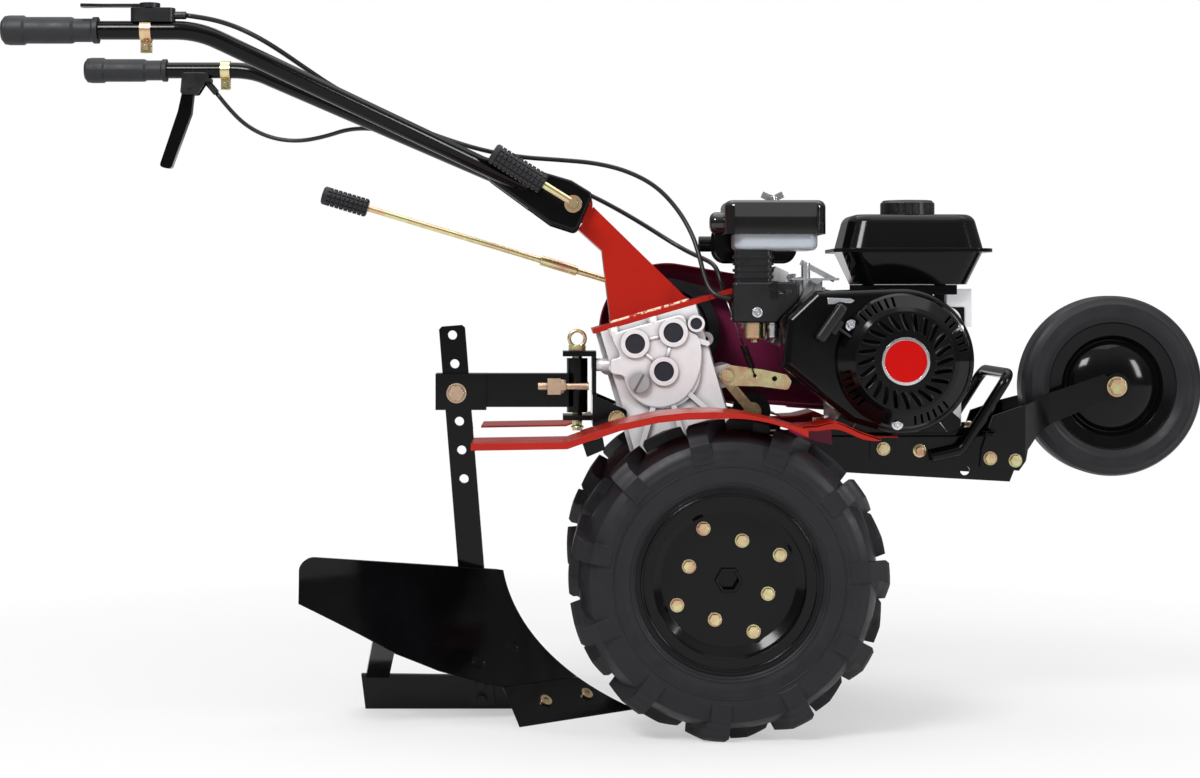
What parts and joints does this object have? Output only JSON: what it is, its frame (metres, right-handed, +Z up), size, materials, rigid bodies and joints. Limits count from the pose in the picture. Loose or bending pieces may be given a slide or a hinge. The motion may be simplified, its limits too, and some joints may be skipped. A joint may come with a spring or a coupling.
{
  "type": "walk-behind plough tractor",
  "caption": "Two-wheel walk-behind tractor with a belt-driven engine, tilting handlebar, raised front wheel and a mouldboard plough on a swinging drawbar.",
  "frame": {"origin": "on the ground below the middle of the machine's length and width", "axes": "+X forward, +Y to the machine's left, +Z up"},
  "size_m": [1.5986, 0.546, 0.9474],
  "materials": {
    "red_enamel": "gloss",
    "black_enamel": "gloss",
    "yellow_zinc": "zinc plated",
    "cast_aluminium": "as cast",
    "drive_tyre_rubber": "moulded",
    "grip_rubber": "matt",
    "bright_steel": "machined",
    "black_plastic": "moulded",
    "clear_plastic": "translucent",
    "red_plastic": "moulded",
    "chrome": "polished",
    "brass": "plain",
    "belt_rubber": "fabric faced"
  },
  "bodies": {
    "chassis": {"gearcase_halves": "cast_aluminium", "case_plugs": "grip_rubber", "drive_chain": "bright_steel", "shaft_bearings": "bright_steel", "handle_post": "red_enamel", "crankcase": "cast_aluminium", "fan_shroud": "black_enamel", "recoil_cover": "black_enamel", "recoil_badge": "red_plastic", "fuel_tank": "black_enamel", "air_filter_cover": "black_plastic", "air_filter_bowl": "clear_plastic", "intake_duct": "black_plastic", "carburettor": "brass", "muffler": "black_enamel", "drive_belt": "belt_rubber", "belt_guard": "red_enamel", "engine_frame": "black_enamel", "front_bumper": "black_enamel", "fork_plates": "black_enamel", "fenders": "red_enamel", "chassis_bolts": "yellow_zinc", "hitch_bracket": "black_enamel", "hitch_pin": "yellow_zinc", "throttle_cable": "grip_rubber", "clutch_cable": "grip_rubber", "clutch_spring": "black_enamel"},
    "drive_axle": {"axle_shaft": "bright_steel", "wheel_hubs": "black_enamel", "wheel_rims": "black_enamel", "wheel_bolts": "yellow_zinc", "drive_tyres": "drive_tyre_rubber"},
    "input_shaft": {"input_gear_shaft": "bright_steel"},
    "counter_shaft": {"counter_gear_shaft": "bright_steel"},
    "output_shaft": {"output_sprocket_shaft": "bright_steel"},
    "front_wheel": {"front_tyre": "drive_tyre_rubber", "front_wheel_disc": "black_enamel"},
    "handlebar": {"handlebar": "black_enamel", "handle_grips": "grip_rubber", "control_clamps": "yellow_zinc", "control_housings": "black_plastic"},
    "clamp_lever": {"clamp_lever": "yellow_zinc", "clamp_lever_grip": "grip_rubber"},
    "throttle_lever": {"throttle_lever": "black_plastic"},
    "clutch_lever": {"clutch_lever": "black_enamel"},
    "gear_lever": {"gear_lever": "yellow_zinc", "gear_lever_grip": "grip_rubber"},
    "crankshaft": {"crankshaft": "bright_steel"},
    "starter_grip": {"starter_grip": "black_plastic", "starter_rope": "grip_rubber"},
    "fuel_cap": {"fuel_cap": "black_plastic"},
    "choke_lever": {"choke_lever": "chrome"},
    "tension_arm": {"tension_arm": "yellow_zinc"},
    "idler": {"idler_pulley": "bright_steel"},
    "plough": {"drawbar": "black_enamel", "plough_shank": "black_enamel", "mouldboard": "black_enamel", "share": "black_enamel", "landside": "black_enamel", "plough_bolts": "yellow_zinc"}
  },
  "joints": [
    {"name": "axle_spin", "type": "hinge", "parent": "chassis", "child": "drive_axle", "pos_m": [0.13025, 0, 0.207], "axis": [0, 1, 0], "continuous": true},
    {"name": "output_spin", "type": "hinge", "parent": "chassis", "child": "output_shaft", "pos_m": [0.05318, 0, 0.47227], "axis": [0, 1, 0], "continuous": true},
    {"name": "input_spin", "type": "hinge", "parent": "chassis", "child": "input_shaft", "pos_m": [0.06606, 0, 0.52471], "axis": [0, 1, 0], "continuous": true},
    {"name": "counter_spin", "type": "hinge", "parent": "chassis", "child": "counter_shaft", "pos_m": [0.01421, 0, 0.50964], "axis": [0, 1, 0], "continuous": true},
    {"name": "front_wheel_spin", "type": "hinge", "parent": "chassis", "child": "front_wheel", "pos_m": [0.67475, 0, 0.45], "axis": [0, 1, 0], "continuous": true},
    {"name": "handlebar_tilt", "type": "hinge", "parent": "chassis", "child": "handlebar", "pos_m": [-0.06925, 0, 0.7], "axis": [0, 1, 0], "range_deg": [-15, 20], "deforming": ["throttle_cable", "clutch_cable"]},
    {"name": "clamp_turn", "type": "hinge", "parent": "handlebar", "child": "clamp_lever", "pos_m": [-0.06925, -0.082, 0.7], "axis": [0, 1, 0], "range_deg": [0, 150]},
    {"name": "throttle_turn", "type": "hinge", "parent": "handlebar", "child": "throttle_lever", "pos_m": [-0.61075, -0.254, 0.941], "axis": [0, 0, 1], "range_deg": [-60, 0]},
    {"name": "clutch_squeeze", "type": "hinge", "parent": "handlebar", "child": "clutch_lever", "pos_m": [-0.64225, 0.254, 0.887], "axis": [0, 1, 0], "range_deg": [0, 60], "stiffness_Nm_per_rad": 0.6, "springref_deg": -22.92},
    {"name": "tension_turn", "type": "hinge", "parent": "chassis", "child": "tension_arm", "pos_m": [0.14085, 0, 0.466], "axis": [0, 1, 0], "range_deg": [-15, 0], "deforming": ["clutch_spring"]},
    {"name": "idler_spin", "type": "hinge", "parent": "tension_arm", "child": "idler", "pos_m": [0.18825, 0.112, 0.40921], "axis": [0, 1, 0], "continuous": true},
    {"name": "crank_spin", "type": "hinge", "parent": "chassis", "child": "crankshaft", "pos_m": [0.36775, 0, 0.488], "axis": [0, 1, 0], "continuous": true},
    {"name": "gear_shift", "type": "slide", "parent": "chassis", "child": "gear_lever", "axis": [0.9578, 0, -0.2874], "range_m": [-0.025, 0.02]},
    {"name": "starter_pull", "type": "slide", "parent": "chassis", "child": "starter_grip", "axis": [-0.8192, 0, 0.5736], "range_m": [0, 0.45], "stiffness_N_per_m": 20, "springref_m": -0.3, "deforming": ["starter_rope"]},
    {"name": "fuel_cap_turn", "type": "hinge", "parent": "chassis", "child": "fuel_cap", "pos_m": [0.39125, -0.025, 0.695], "axis": [0, 0, 1], "range_deg": [0, 90]},
    {"name": "choke_slide", "type": "slide", "parent": "chassis", "child": "choke_lever", "axis": [1, 0, 0], "range_m": [0, 0.018]},
    {"name": "drawbar_swing", "type": "hinge", "parent": "chassis", "child": "plough", "pos_m": [-0.06325, 0, 0.45], "axis": [0, 0, 1], "range_deg": [-6, 6]}
  ],
  "couplings": [
    {"joint": "output_spin", "follows": "axle_spin", "ratio": 2},
    {"joint": "input_spin", "follows": "axle_spin", "ratio": -4},
    {"joint": "counter_spin", "follows": "axle_spin", "ratio": -4},
    {"joint": "tension_turn", "follows": "clutch_squeeze", "ratio": -0.25}
  ]
}
